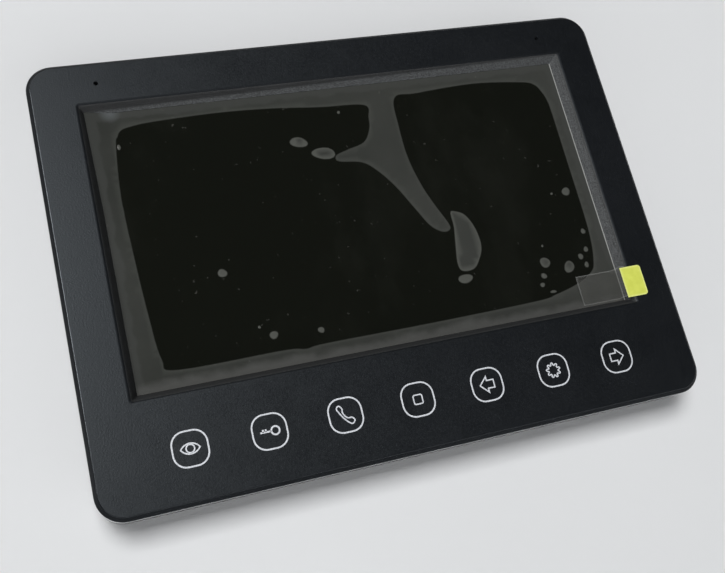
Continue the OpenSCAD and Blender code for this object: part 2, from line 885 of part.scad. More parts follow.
module speaker_magnet() {
    color([0.5, 0.5, 0.52])
    union() {
        tube(speaker_x, speaker_z, 8.5, 5, magnet_y + 0.8, speaker_y - 3.2);
        rod(speaker_x, speaker_z, 8.5, magnet_y, magnet_y + 0.9);
    }
}

module speaker_gasket() {
    color([0.16, 0.16, 0.16])
    tube(speaker_x, speaker_z, speaker_r, speaker_r - 1.6, speaker_y, rear_in_y);
}

module speaker_wires() {
    color([0.7, 0.1, 0.08])
    pair([
        [speaker_x + 8, magnet_y + 0.6, speaker_z + 11.5], [-57, magnet_y + 0.6, -33],
        [-41, -5.6, -27], [-37, -5.6, -12], [-31, -5.6, -8]
    ], [1, 0, -1], wire_r);
}

module cover_screws() {
    tip_y = fascia_in_y + 1.5;
    color([0.4, 0.41, 0.43])
    for (p = COVER_SCREWS)
        screw(p.x, p.y, head_r, head_h, pilot_r - shank_gap, rear_y - sink_d, tip_y);
}

module wall_pads() {
    color([0.1, 0.1, 0.1])
    for (p = PAD_SPOTS)
        rod(p.x, p.y, pad_r, rear_y - pad_seat, 0);
}

module rating_label() {
    color([0.78, 0.79, 0.8])
    block([60, rear_y, -40], [76, rear_y + 0.1, -12]);
}

front_panel();
rear_cover();
wall_bracket();
protective_film();
tab_tape();
pull_tab();
lcd_glass();
light_guide();
backlight_leds();
backlight_tray();
lcd_clips();
clip_screws();
lcd_flex();
main_board();
processor();
memory_chip();
shield_can();
inductors();
capacitors();
coin_cell();
cell_holder();
lcd_connector();
board_screws();
door_headers();
power_header();
header_pins();
sd_socket();
switch_body();
power_slider();
reset_switch();
reset_plunger();
touch_board();
touch_electrodes();
key_leds();
touch_controller();
touch_ribbon();
touch_screws();
mic_capsule();
mic_boot();
mic_wires();
light_pipe();
status_led();
led_board();
led_wires();
speaker_frame();
speaker_cone();
speaker_magnet();
speaker_gasket();
speaker_wires();
cover_screws();
wall_pads();
rating_label();
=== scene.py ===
"""Looks of a wall-mounted video intercom monitor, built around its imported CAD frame.

Lengths are written in millimetres and turned into metres where a mesh is made.
Only the lights' places and sizes are in metres.
X runs to the right along the panel, Z up, and Y from the viewer into the wall.
"""
import json
import math

import bmesh
import bpy
import numpy as np
from mathutils import Matrix, Vector, noise
from mathutils.geometry import delaunay_2d_cdt


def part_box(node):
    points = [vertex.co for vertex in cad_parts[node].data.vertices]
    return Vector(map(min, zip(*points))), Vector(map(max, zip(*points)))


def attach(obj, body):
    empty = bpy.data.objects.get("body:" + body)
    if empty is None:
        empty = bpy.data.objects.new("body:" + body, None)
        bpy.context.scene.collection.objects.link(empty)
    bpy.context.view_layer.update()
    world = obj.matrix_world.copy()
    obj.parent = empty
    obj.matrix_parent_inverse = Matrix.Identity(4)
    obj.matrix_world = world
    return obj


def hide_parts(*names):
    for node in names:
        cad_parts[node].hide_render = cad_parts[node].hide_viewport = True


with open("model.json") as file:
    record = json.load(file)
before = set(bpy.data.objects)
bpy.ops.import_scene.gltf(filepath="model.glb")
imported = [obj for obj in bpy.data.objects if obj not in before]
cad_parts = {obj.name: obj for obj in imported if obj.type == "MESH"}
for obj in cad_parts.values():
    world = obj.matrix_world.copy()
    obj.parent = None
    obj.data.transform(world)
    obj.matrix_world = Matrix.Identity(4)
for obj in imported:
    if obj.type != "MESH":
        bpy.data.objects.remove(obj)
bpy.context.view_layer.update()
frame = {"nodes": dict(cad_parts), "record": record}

MM = 0.001


# ---------------------------------------------------------------- places from the frame

def box_mm(node):
    """Lowest and highest corner of a CAD node, in millimetres."""
    low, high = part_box(node)
    return low / MM, high / MM


panel_low, panel_high = box_mm("front_panel")
film_low, film_high = box_mm("protective_film")
glass_low, _ = box_mm("lcd_glass")
rings_low, rings_high = box_mm("touch_electrodes")
tab_low, tab_high = box_mm("pull_tab")
tape_low, tape_high = box_mm("tab_tape")
tape_low.x += 0.8  # the photo shows its end a little further right than the CAD has it
mic_low, mic_high = box_mm("mic_capsule")
pipe_low, pipe_high = box_mm("light_pipe")

FRONT_Y = panel_low.y
SPLIT_Y = panel_high.y
HALF_W = panel_high.x
HALF_H = panel_high.z
CORNER_R = 8.0
WALL_T = 2.2
FASCIA_T = 2.3
GLASS_Y = glass_low.y
SCREEN_Y = GLASS_Y - 0.1  # the foot of the window's slopes, just clear of the glass

# The window: the width of its slopes seen from the front, and the gaps from the film's edge to
# the CAD opening and to the slopes' foot
SLOPE = 1.7
FILM_GAP = 0.25
FOOT_GAP = 0.06
WINDOW_HALF_W = film_high.x + FILM_GAP
WINDOW_HALF_H = (film_high.z - film_low.z) / 2 + FILM_GAP
WINDOW_Z = (film_high.z + film_low.z) / 2

KEY_Z = (rings_low.z + rings_high.z) / 2
KEY_COUNT = 7
RING_SIZE = rings_high.z - rings_low.z
KEY_PITCH = (rings_high.x - rings_low.x - RING_SIZE) / (KEY_COUNT - 1)


# ---------------------------------------------------------------- mesh helpers

# Signs of x and z at a rectangle's corners, counter-clockwise from the upper right
QUARTERS = [(1, 1), (-1, 1), (-1, -1), (1, -1)]


def add_object(name, mesh, body, materials):
    """A new piece that rides on a body."""
    piece = bpy.data.objects.new(name, mesh)
    bpy.context.scene.collection.objects.link(piece)
    for material in materials:
        mesh.materials.append(material)
    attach(piece, body)
    return piece


def soften(mesh, limit_deg=32.0):
    """Smooth shading, with edges sharper than the limit kept crisp."""
    work = bmesh.new()
    work.from_mesh(mesh)
    bmesh.ops.recalc_face_normals(work, faces=work.faces)
    for face in work.faces:
        face.smooth = True
    for edge in work.edges:
        edge.smooth = edge.calc_face_angle(0.0) < math.radians(limit_deg)
    work.to_mesh(mesh)
    work.free()


def mesh_from(name, points, faces):
    """A mesh from points in millimetres."""
    mesh = bpy.data.meshes.new(name)
    mesh.from_pydata([Vector(p) * MM for p in points], [], faces)
    return mesh


def round_rect_loop(half_w, half_h, radius, middle_z=0.0, corner_steps=10, side_steps=6):
    """Points around a rounded rectangle in X and Z, the same number for any size."""
    def on_corner(quarter, degrees):
        sx, sz = QUARTERS[quarter % 4]
        angle = math.radians(degrees)
        return (sx * (half_w - radius) + radius * math.cos(angle),
                middle_z + sz * (half_h - radius) + radius * math.sin(angle))

    points = []
    for quarter in range(4):
        for step in range(corner_steps + 1):
            points.append(on_corner(quarter, 90 * quarter + 90 * step / corner_steps))
        start, end = points[-1], on_corner(quarter + 1, 90 * (quarter + 1))
        for step in range(1, side_steps):
            t = step / side_steps
            points.append((start[0] + (end[0] - start[0]) * t, start[1] + (end[1] - start[1]) * t))
    return points


def ring_solid(name, loops, tags):
    """A closed ring from (outline, y) loops; tags gives the material of each band."""
    points, faces, materials = [], [], []
    count = len(loops[0][0])
    for outline, y in loops:
        points += [(x, y, z) for x, z in outline]
    for i in range(len(loops)):
        a, b = i * count, (i + 1) % len(loops) * count
        for k in range(count):
            n = (k + 1) % count
            faces.append((a + k, a + n, b + n, b + k))
            materials.append(tags[i])
    mesh = mesh_from(name, points, faces)
    mesh.polygons.foreach_set("material_index", materials)
    return mesh


def fillet(before, corner, after, radius, steps=5):
    """Points on an arc that rounds a corner of a profile."""
    p, c, q = Vector(before), Vector(corner), Vector(after)
    u, v = (p - c).normalized(), (q - c).normalized()
    half = u.angle(v) / 2
    reach = radius / math.tan(half)
    centre = c + (u + v).normalized() * (radius / math.sin(half))
    start, end = c + u * reach - centre, c + v * reach - centre
    sweep = start.angle(end)
    points = []
    for step in range(steps + 1):
        t = step / steps
        mixed = start * math.sin((1 - t) * sweep) + end * math.sin(t * sweep)
        points.append(centre + mixed / math.sin(sweep))
    return points


def cut(target, cutter):
    """Cuts the shape of cutter out of target, and removes cutter."""
    step = target.modifiers.new("step", "BOOLEAN")
    step.operation = "DIFFERENCE"
    step.solver = "EXACT"
    step.object = cutter
    graph = bpy.context.evaluated_depsgraph_get()
    result = bpy.data.meshes.new_from_object(target.evaluated_get(graph))
    target.modifiers.clear()
    target.data = result
    bpy.data.objects.remove(cutter)


def rods(name, spots, steps=24):
    """Round bars along Y, each (x, z, radius, y0, y1), as one loose object."""
    points, faces = [], []
    for x, z, radius, y0, y1 in spots:
        first = len(points)
        for y in (y0, y1):
            for k in range(steps):
                angle = 2 * math.pi * k / steps
                points.append((x + radius * math.cos(angle), y, z + radius * math.sin(angle)))
        faces.append(tuple(first + k for k in range(steps)))
        faces.append(tuple(first + steps + k for k in reversed(range(steps))))
        for k in range(steps):
            n = (k + 1) % steps
            faces.append((first + n, first + k, first + steps + k, first + steps + n))
    mesh = mesh_from(name, points, faces)
    soften(mesh)
    piece = bpy.data.objects.new(name, mesh)
    bpy.context.scene.collection.objects.link(piece)
    return piece


# ---------------------------------------------------------------- materials

# Sockets of a Mix node set to colours, which share their names with its other kinds
MIX_A, MIX_B, MIX_RESULT = 6, 7, 2


class Nodes:
    """A short way to write a material's node tree."""

    def __init__(self, name):
        self.material = bpy.data.materials.new(name)
        self.material.use_nodes = True
        self.tree = self.material.node_tree
        self.shader = self.tree.nodes["Principled BSDF"]
        self.place = self.tree.nodes.new("ShaderNodeTexCoord").outputs["Object"]

    def link(self, a, b):
        self.tree.links.new(a, b)

    def feed(self, value, socket):
        """Gives a socket a number, a colour or another node's output."""
        if isinstance(value, (int, float)):
            socket.default_value = value
        elif isinstance(value, tuple):
            socket.default_value = (*value, 1)
        else:
            self.link(value, socket)

    def noise(self, size_mm, detail=3.0, rough=0.5, stretch=(1, 1, 1)):
        """Noise whose features are about size_mm across."""
        place = self.place
        if stretch != (1, 1, 1):
            mapping = self.tree.nodes.new("ShaderNodeMapping")
            mapping.inputs["Scale"].default_value = stretch
            self.link(self.place, mapping.inputs["Vector"])
            place = mapping.outputs["Vector"]
        node = self.tree.nodes.new("ShaderNodeTexNoise")
        node.inputs["Scale"].default_value = 1 / (size_mm * MM)
        node.inputs["Detail"].default_value = detail
        node.inputs["Roughness"].default_value = rough
        self.link(place, node.inputs["Vector"])
        return node.outputs["Fac"]

    def cells(self, size_mm, output="Color"):
        node = self.tree.nodes.new("ShaderNodeTexVoronoi")
        node.inputs["Scale"].default_value = 1 / (size_mm * MM)
        self.link(self.place, node.inputs["Vector"])
        return node.outputs[output]

    def along(self, axis):
        """The place along one axis, in millimetres."""
        split = self.tree.nodes.new("ShaderNodeSeparateXYZ")
        self.link(self.place, split.inputs["Vector"])
        return self.math("DIVIDE", split.outputs[axis], MM)

    def away(self, x, z):
        """The distance from a point in X and Z, in millimetres."""
        dx = self.math("SUBTRACT", self.along("X"), x)
        dz = self.math("SUBTRACT", self.along("Z"), z)
        squares = self.math("ADD", self.math("MULTIPLY", dx, dx), self.math("MULTIPLY", dz, dz))
        return self.math("POWER", squares, 0.5)

    def from_side(self, low, high):
        """How far inside a box's nearest side in X or Z a point lies, in millimetres."""
        gaps = []
        for axis, a, b in (("X", low.x, high.x), ("Z", low.z, high.z)):
            from_middle = self.math("SUBTRACT", self.along(axis), (a + b) / 2)
            off = self.math("ABSOLUTE", from_middle, 0.0)
            gaps.append(self.math("SUBTRACT", (b - a) / 2, off))
        return self.math("MINIMUM", *gaps)

    def span(self, value, low_in, high_in, low, high):
        """value moved from one range to another, and clamped."""
        node = self.tree.nodes.new("ShaderNodeMapRange")
        ends = {"From Min": low_in, "From Max": high_in, "To Min": low, "To Max": high}
        for name, number in ends.items():
            node.inputs[name].default_value = number
        self.link(value, node.inputs["Value"])
        return node.outputs["Result"]

    def spread(self, noise_value, low, high):
        """Noise mostly lies between 0.3 and 0.7: this spreads it over another range."""
        return self.span(noise_value, 0.3, 0.7, low, high)

    def math(self, operation, a, b):
        node = self.tree.nodes.new("ShaderNodeMath")
        node.operation = operation
        for socket, value in zip(node.inputs, (a, b)):
            self.feed(value, socket)
        return node.outputs["Value"]

    def blend(self, factor, a, b):
        """A colour between two, by a factor from 0 to 1."""
        node = self.tree.nodes.new("ShaderNodeMix")
        node.data_type = "RGBA"
        self.link(factor, node.inputs["Factor"])
        for index, value in ((MIX_A, a), (MIX_B, b)):
            self.feed(value, node.inputs[index])
        return node.outputs[MIX_RESULT]

    def attribute(self, name):
        node = self.tree.nodes.new("ShaderNodeAttribute")
        node.attribute_name = name
        return node.outputs["Fac"]

    def bump(self, height, depth_mm, under=None):
        """Relief of a height map, on top of another relief if one is given."""
        node = self.tree.nodes.new("ShaderNodeBump")
        node.inputs["Distance"].default_value = depth_mm * MM
        self.link(height, node.inputs["Height"])
        if under:
            self.link(under, node.inputs["Normal"])
        return node.outputs["Normal"]

    def finish(self, color, roughness, normal, **constants):
        """The material, with its shader fed; constants are sockets named with underscores."""
        for name, value in (("Base Color", color), ("Roughness", roughness), ("Normal", normal)):
            self.feed(value, self.shader.inputs[name])
        for name, value in constants.items():
            self.feed(value, self.shader.inputs[name.replace("_", " ")])
        return self.material


def shades(color, amount):
    """A darker and a lighter version of a colour."""
    return tuple(c * (1 - amount) for c in color), tuple(c * (1 + amount) for c in color)


def moulded(name, color, roughness, grain=0.25, depth=0.01, vary=0.18):
    """Moulded plastic with a fine eroded texture and slow changes of tone."""
    n = Nodes(name)
    dark, light = shades(color, vary)
    tone = n.blend(n.span(n.noise(14, 3), 0.35, 0.65, 0, 1), dark, light)
    gloss = n.spread(n.noise(6, 4), roughness - 0.05, roughness + 0.06)
    relief = n.bump(n.noise(grain, 2, 0.6), depth)
    return n.finish(tone, gloss, relief)


def metal(name, color, roughness, stretch=(1, 1, 18), grain=1.2, depth=0.004, vary=0.12):
    """Plated metal with faint drawn lines and stains."""
    n = Nodes(name)
    dark, light = shades(color, vary)
    tone = n.blend(n.spread(n.noise(9, 4), 0, 1), dark, light)
    gloss = n.spread(n.noise(4, 5, 0.6), roughness - 0.08, roughness + 0.1)
    relief = n.bump(n.noise(grain, 3, 0.6, stretch), depth)
    return n.finish(tone, gloss, relief, Metallic=1.0)


def zinc_sheet(name):
    """Galvanised sheet: flat crystals of slightly different tone under a fine drawn grain."""
    n = Nodes(name)
    crystals = n.blend(n.span(n.cells(4.5), 0, 1, 0, 1), (0.38, 0.39, 0.405), (0.44, 0.45, 0.46))
    gloss = n.spread(n.noise(3, 5, 0.6), 0.36, 0.5)
    relief = n.bump(n.noise(0.8, 3, 0.6, (1, 1, 9)), 0.006)
    return n.finish(crystals, gloss, relief, Metallic=1.0)


def circuit_board(name, mask, track):
    """Solder mask over copper tracks: straight steps of tone and height."""
    n = Nodes(name)
    squares = n.cells(3.2)
    lines = n.span(squares, 0.45, 0.5, 0, 1)
    speckle = n.noise(0.6, 2)
    tone = n.blend(lines, mask, track)
    gloss = n.spread(speckle, 0.22, 0.4)
    relief = n.bump(lines, 0.02, under=n.bump(speckle, 0.004))
    return n.finish(tone, gloss, relief)


def foam(name, color):
    """Closed-cell foam or soft rubber with fine pores."""
    n = Nodes(name)
    dark, light = shades(color, 0.25)
    pores = n.cells(0.45, "Distance")
    tone = n.blend(n.span(pores, 0, 0.7, 0, 1), dark, light)
    gloss = n.spread(n.noise(3, 3), 0.72, 0.88)
    return n.finish(tone, gloss, n.bump(pores, 0.03))


def fascia_satin(name, roughness=0.44, **constants):
    """The panel's satin black, with a fine speckle and a few rubbed places."""
    n = Nodes(name)
    patches = n.span(n.noise(30, 4), 0.35, 0.65, 0, 1)
    tone = n.blend(patches, (0.0032, 0.0037, 0.0047), (0.0048, 0.0054, 0.0066))
    rubbed = n.span(n.noise(9, 5, 0.62), 0.32, 0.7, roughness - 0.03, roughness + 0.03)
    speckle = n.span(n.noise(0.7, 3, 0.7), 0.35, 0.65, -0.05, 0.06)
    grain = n.bump(n.noise(0.5, 3, 0.65), 0.047, under=n.bump(n.noise(1.6, 2), 0.008))
    return n.finish(tone, n.math("ADD", rubbed, speckle), grain,
                    IOR=1.53, Specular_Tint=(0.84, 0.93, 1), **constants)


def slope_texture(name, low, high, shade_depth, light_depth, lean=0.0):
    """The window's slopes: an eroded texture under painted shade that turns to painted light from
    one depth to another.

    The lean moves both depths forward along X, by so many millimetres for each millimetre.
    """
    n = Nodes(name)
    speck = n.noise(0.35, 3, 0.65)
    # Painted shade and light: dark at the shade depth and pale from the light depth on, with the
    # border slanted along X by the lean
    place = n.math("ADD", n.along("Y"), n.math("MULTIPLY", n.along("X"), lean))
    depth = n.span(place, FRONT_Y + shade_depth, FRONT_Y + light_depth, 0.1, 1)
    pale = n.math("MULTIPLY", n.span(speck, 0.36, 0.66, 0, 1), depth)
    tone = n.blend(pale, (low * 0.95, low, low * 1.06), (high * 0.95, high, high * 1.03))
    gloss = n.spread(n.noise(3, 3), 0.5, 0.66)
    return n.finish(tone, gloss, n.bump(speck, 0.03))


def film_material(name):
    """Clear film over dark glass: black where it clings, hazy grey where it has lifted."""
    n = Nodes(name)
    lift = n.attribute("lift")
    uneven = n.spread(n.noise(7, 3), -0.9, 0.9)

    # The haze is paler in a band around the film, toward the right, along the foot and at rims
    clouds = n.spread(n.noise(22, 4, 0.6), 0, 1)
    haze = n.blend(clouds, (0.027, 0.029, 0.026), (0.037, 0.039, 0.035))
    from_edge = n.math("ADD", n.from_side(film_low, film_high), uneven)
    haze = n.blend(n.span(from_edge, 1.9, 2.7, 1, 0), haze, (0.041, 0.043, 0.04))
    rightward = n.span(n.along("X"), film_low.x, film_high.x, 0, 0.45)
    haze = n.blend(rightward, haze, (0.058, 0.06, 0.055))
    above_foot = n.math("ADD", n.math("SUBTRACT", n.along("Z"), film_low.z), uneven)
    haze = n.blend(n.span(above_foot, 1, 3.4, 0.7, 0), haze, (0.095, 0.096, 0.092))
    haze = n.blend(n.attribute("rim"), haze, (0.075, 0.078, 0.07))

    # Faint smears where the film clings
    smear = n.span(n.noise(34, 5, 0.68, (1, 1, 0.5)), 0.52, 0.78, 0, 1)
    cling = n.blend(smear, (0.0046, 0.0052, 0.0034), (0.009, 0.0098, 0.0074))
    tone = n.blend(lift, cling, haze)

    # Dust, a painted glint at the curled corner, and a painted highlight along the cut edge at the
    # right
    dust = n.span(n.noise(1.4, 2, 0.4), 0.74, 0.8, 0, 0.25)
    tone = n.blend(dust, tone, (0.12, 0.12, 0.11))
    painted_glint = n.span(n.away(-71.4, 52), 0.6, 3.6, 0.4, 0)
    tone = n.blend(painted_glint, tone, (0.15, 0.165, 0.175))
    # Painted highlight along the film's cut edge at the right
    from_right = n.math("SUBTRACT", film_high.x, n.along("X"))
    tone = n.blend(n.span(from_right, 0.12, 0.42, 1, 0), tone, (0.4, 0.41, 0.4))

    gloss = n.math("ADD", n.spread(n.noise(16, 4), 0.05, 0.12), n.math("MULTIPLY", lift, 0.1))
    relief = n.bump(n.noise(9, 3, 0.55), 0.05, under=n.bump(n.noise(1.8, 2), 0.003))
    return n.finish(tone, gloss, relief, IOR=1.45)


def glass_black(name):
    n = Nodes(name)
    tone = n.blend(n.spread(n.noise(20, 3), 0, 1), (0.003, 0.0032, 0.003), (0.005, 0.0054, 0.005))
    gloss = n.spread(n.noise(8, 3), 0.06, 0.11)
    return n.finish(tone, gloss, n.bump(n.noise(4, 2), 0.002))


def print_white(name):
    """Screen-printed white ink, slightly uneven in cover."""
    n = Nodes(name)
    cover = n.noise(0.5, 4, 0.6)
    tone = n.blend(n.span(cover, 0.32, 0.62, 0, 1), (0.44, 0.46, 0.5), (0.7, 0.72, 0.76))
    return n.finish(tone, n.spread(cover, 0.45, 0.6), n.bump(cover, 0.006))


def tab_film(name):
    """Yellow-green tab, a little paler along its edges."""
    n = Nodes(name)
    patch = n.noise(3.5, 4, 0.6)
    tone = n.blend(n.spread(patch, 0, 1), (0.6, 0.65, 0.1), (0.7, 0.75, 0.14))
    edge = n.span(n.from_side(tab_low, tab_high), 0.1, 0.7, 0.7, 0)
    tone = n.blend(edge, tone, (0.8, 0.84, 0.3))
    return n.finish(tone, n.spread(patch, 0.3, 0.42), n.bump(n.noise(2.5, 3), 0.02))


def tape_clear(name):
    """Clear tape: only a thin veil, with a painted highlight along its cut edges.

    Its index is near 1, because with a plastic's index the sheet speckled when seen at a slant.
    """
    n = Nodes(name)
    patch = n.noise(4, 4, 0.6)
    tone = n.blend(n.spread(patch, 0, 1), (0.1, 0.102, 0.095), (0.145, 0.147, 0.138))
    # A painted highlight along the tape's cut edges
    edge = n.span(n.from_side(tape_low, tape_high), 0.12, 0.32, 1, 0)
    tone = n.blend(edge, tone, (0.42, 0.43, 0.42))
    relief = n.bump(n.noise(5, 2), 0.006)
    return n.finish(tone, n.spread(patch, 0.16, 0.28), relief, Alpha=0.2, IOR=1.05)


def clear_plastic(name, color):
    n = Nodes(name)
    dark, light = shades(color, 0.06)
    patch = n.noise(5, 3)
    tone = n.blend(n.spread(patch, 0, 1), dark, light)
    return n.finish(tone, n.spread(patch, 0.08, 0.16), n.bump(patch, 0.004), Alpha=0.6)


def build_materials():
    """One material for each slot in the record.

    moulded() and metal() take colour and roughness; then moulded() takes grain size, grain depth
    and change of tone, and metal() takes stretch, grain size and grain depth.
    """
    black = (0.012, 0.012, 0.013)
    return {
        "fascia_plastic": fascia_satin("fascia_plastic"),
        "cover_plastic": moulded("cover_plastic", (0.017, 0.017, 0.019), 0.55, 0.3, 0.02),
        "zinc_steel": zinc_sheet("zinc_steel"),
        "film": film_material("film"),
        "key_ink": print_white("key_ink"),
        "clear_tape": tape_clear("clear_tape"),
        "tab_plastic": tab_film("tab_plastic"),
        "display_glass": glass_black("display_glass"),
        "acrylic": clear_plastic("acrylic", (0.8, 0.83, 0.85)),
        "emitter": moulded("emitter", (0.8, 0.75, 0.5), 0.3, 0.4, 0.002),
        "plated_steel": metal("plated_steel", (0.55, 0.56, 0.57), 0.34),
        "screw_steel": metal("screw_steel", (0.36, 0.37, 0.39), 0.3, (1, 1, 1), 0.5, 0.003),
        "polyimide": moulded("polyimide", (0.4, 0.17, 0.03), 0.3, 1.2, 0.004),
        "green_board": circuit_board("green_board", (0.008, 0.07, 0.026), (0.016, 0.12, 0.045)),
        "black_board": circuit_board("black_board", (0.01, 0.01, 0.012), (0.02, 0.02, 0.022)),
        "chip_epoxy": moulded("chip_epoxy", black, 0.5, 0.15, 0.005),
        "ferrite": moulded("ferrite", (0.035, 0.035, 0.037), 0.6, 0.2, 0.01),
        "can_aluminium": metal("can_aluminium", (0.6, 0.61, 0.63), 0.3, (1, 1, 1), 0.4, 0.003),
        "cell_steel": metal("cell_steel", (0.62, 0.63, 0.64), 0.18, (1, 1, 1), 0.9, 0.002),
        "black_nylon": moulded("black_nylon", black, 0.5),
        "ivory_nylon": moulded("ivory_nylon", (0.62, 0.59, 0.48), 0.42, 0.3, 0.004, 0.06),
        "red_nylon": moulded("red_nylon", (0.36, 0.02, 0.015), 0.42, 0.3, 0.004),
        "gold_plate": metal("gold_plate", (0.72, 0.5, 0.18), 0.24, (1, 1, 1), 0.3, 0.002),
        "knob_plastic": moulded("knob_plastic", (0.022, 0.022, 0.024), 0.48, 0.2, 0.01),
        "dark_foam": foam("dark_foam", (0.03, 0.03, 0.032)),
        "white_flex": moulded("white_flex", (0.62, 0.6, 0.54), 0.4, 1.0, 0.004, 0.05),
        "black_rubber": foam("black_rubber", (0.014, 0.014, 0.014)),
        "black_wire": moulded("black_wire", black, 0.5, 0.8, 0.004),
        "red_wire": moulded("red_wire", (0.36, 0.015, 0.01), 0.42, 0.8, 0.004),
        "black_steel": moulded("black_steel", (0.022, 0.022, 0.024), 0.4, 0.5, 0.006),
        "paper_cone": moulded("paper_cone", (0.018, 0.018, 0.019), 0.8, 0.35, 0.03),
        "blank_label": moulded("blank_label", (0.3, 0.31, 0.32), 0.36, 0.6, 0.003, 0.05),
    }


def dress_frame(materials):
    """Gives every CAD node the material of its slot."""
    for part in frame["record"]["subparts"]:
        mesh = frame["nodes"][part["node"]].data
        mesh.materials.clear()
        mesh.materials.append(materials[part["material_slot"]])


# ---------------------------------------------------------------- front panel

# The front shell's materials, by index
FASCIA, SLOPE_LIT, SIDE, SLOPE_SHADED, DULL, LIP = range(6)


def panel_materials(materials):
    """The front shell's materials in the order of their indices."""
    return [materials["fascia_plastic"],
            slope_texture("window_slope", 0.014, 0.125, 1.25, 1.95, 0.0127),
            fascia_satin("panel_side", 0.16, Sheen_Weight=0.35, Sheen_Roughness=0.35),
            # A darker copy of the slope material: painted shade for the left and lower slopes
            slope_texture("window_slope_shaded", 0.019, 0.05, 1.7, 0.4),
            fascia_satin("panel_chamfer", 0.6, Specular_IOR_Level=0.15),
            fascia_satin("window_lip", 0.6, Specular_IOR_Level=0.3)]


def panel_loops():
    """The front shell's cross-section as loops, with the material of the band after each."""
    chamfer, arris, lip_radius = 1.2, 0.28, 1.15
    split_bevel, dull_share, rib = 0.2, 0.3, 2.0
    # Corner radii of the window's outline, which grow step by step over the lip
    foot_corner, slope_corner, corner_growth, front_corner, rib_corner = 0.4, 0.6, 0.1, 1.2, 0.5
    # Narrow bands that keep a rounded edge's shading off the flat or the slope beside it
    support, slope_support = 0.12, (0.04, 0.08)
    far = 20  # a point this far off gives a corner's side its direction
    inner_y = FRONT_Y + FASCIA_T
    loops, tags = [], []

    def add(points, y, tag=FASCIA):
        loops.append((points, y))
        tags.append(tag)

    def window(grow, radius):
        return round_rect_loop(WINDOW_HALF_W + grow, WINDOW_HALF_H + grow, radius, WINDOW_Z)

    def outline(inset):
        return round_rect_loop(HALF_W - inset, HALF_H - inset, CORNER_R - inset)

    # From the window's foot up the slope and over the lip
    add(window(FOOT_GAP - FILM_GAP, foot_corner), SCREEN_Y, SLOPE_LIT)
    lip = fillet((0, SCREEN_Y), (SLOPE, FRONT_Y), (far, FRONT_Y), lip_radius)
    down = lip[0].x - slope_support[0], lip[0].y + slope_support[1]
    add(window(down[0], slope_corner), down[1], SLOPE_LIT)
    for i, p in enumerate(lip):
        tag = SLOPE_LIT if i < 2 else LIP if p is not lip[-1] else FASCIA
        add(window(p.x, slope_corner + corner_growth * i), p.y, tag)
    add(window(lip[-1].x + support, front_corner), FRONT_Y)

    # Over the fascia, the chamfer between its two rounded edges, and the side down to the split
    front_edge = fillet((far, FRONT_Y), (chamfer, FRONT_Y), (0, FRONT_Y + chamfer), arris)
    add(outline(front_edge[0].x + support), FRONT_Y)
    for p in front_edge:
        add(outline(p.x), p.y, DULL if p is front_edge[-1] else SIDE)
    side_edge = fillet((chamfer, FRONT_Y), (0, FRONT_Y + chamfer), (0, SPLIT_Y), arris)
    for p in side_edge:
        add(outline(p.x), p.y, SIDE)
    add(outline(0), side_edge[-1].y + support, SIDE)
    add(outline(0), SPLIT_Y - dull_share * (SPLIT_Y - FRONT_Y), DULL)
    add(outline(0), SPLIT_Y - split_bevel)
    add(outline(split_bevel), SPLIT_Y)

    # Inside, and round the rib that stands on the glass
    add(outline(WALL_T), SPLIT_Y)
    add(outline(WALL_T), inner_y)
    add(window(rib, rib_corner), inner_y)
    add(window(rib, rib_corner), SCREEN_Y)
    return loops, tags


def front_panel(materials):
    """The moulded front: chamfered rim, rounded window lip, textured slopes and real holes."""
    mic_radius, lamp_radius, past = 0.7, 0.62, 1
    mesh = ring_solid("front_shell", *panel_loops())
    soften(mesh)
    piece = add_object("front_shell", mesh, "monitor", panel_materials(materials))
    for face in mesh.polygons:
        # The left and lower slopes, which face away from the light, take the darker copy of the
        # slope material as painted shade, and their lip looks like the fascia
        if face.material_index == SLOPE_LIT and (face.normal.x > 0.5 or face.normal.z > 0.15):
            face.material_index = SLOPE_SHADED
        if face.material_index == LIP and max(face.normal.x, face.normal.z) > 0.05:
            face.material_index = FASCIA
    reach = FRONT_Y - past, FRONT_Y + FASCIA_T + past
    mic, lamp = (mic_low + mic_high) / 2, (pipe_low + pipe_high) / 2
    cut(piece, rods("holes", [(mic.x, mic.z, mic_radius, *reach),
                              (lamp.x, lamp.z, lamp_radius, *reach)]))
    soften(piece.data)
    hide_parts("front_panel")


# ---------------------------------------------------------------- protective film

def smooth_loop(points, steps=6):
    """A closed curve through points, by Catmull-Rom."""
    curve, count = [], len(points)
    for i in range(count):
        p0, p1, p2, p3 = (np.array(points[(i + k - 1) % count], float) for k in range(4))
        for s in range(steps):
            t = s / steps
            square, cube = 2 * p0 - 5 * p1 + 4 * p2 - p3, 3 * p1 - p0 - 3 * p2 + p3
            curve.append(0.5 * (2 * p1 + (p2 - p0) * t + square * t * t + cube * t ** 3))
    return np.array(curve)


def offset_loop(curve, distance):
    """The curve moved sideways, to its left for a positive distance."""
    ahead, behind = np.roll(curve, -1, 0), np.roll(curve, 1, 0)
    direction = ahead - behind
    direction /= np.linalg.norm(direction, axis=1)[:, None]
    return curve + distance * np.stack([-direction[:, 1], direction[:, 0]], 1)


def area_of(curve):
    x, z = curve[:, 0], curve[:, 1]
    return 0.5 * np.sum(x * np.roll(z, -1) - z * np.roll(x, -1))


def inside(points, curve):
    """Which points lie inside a closed curve."""
    hit = np.zeros(len(points), bool)
    for (x0, z0), (x1, z1) in zip(curve, np.roll(curve, -1, 0)):
        crosses = (z0 > points[:, 1]) != (z1 > points[:, 1])
        if z0 != z1:
            hit ^= crosses & (points[:, 0] < (x1 - x0) * (points[:, 1] - z0) / (z1 - z0) + x0)
    return hit


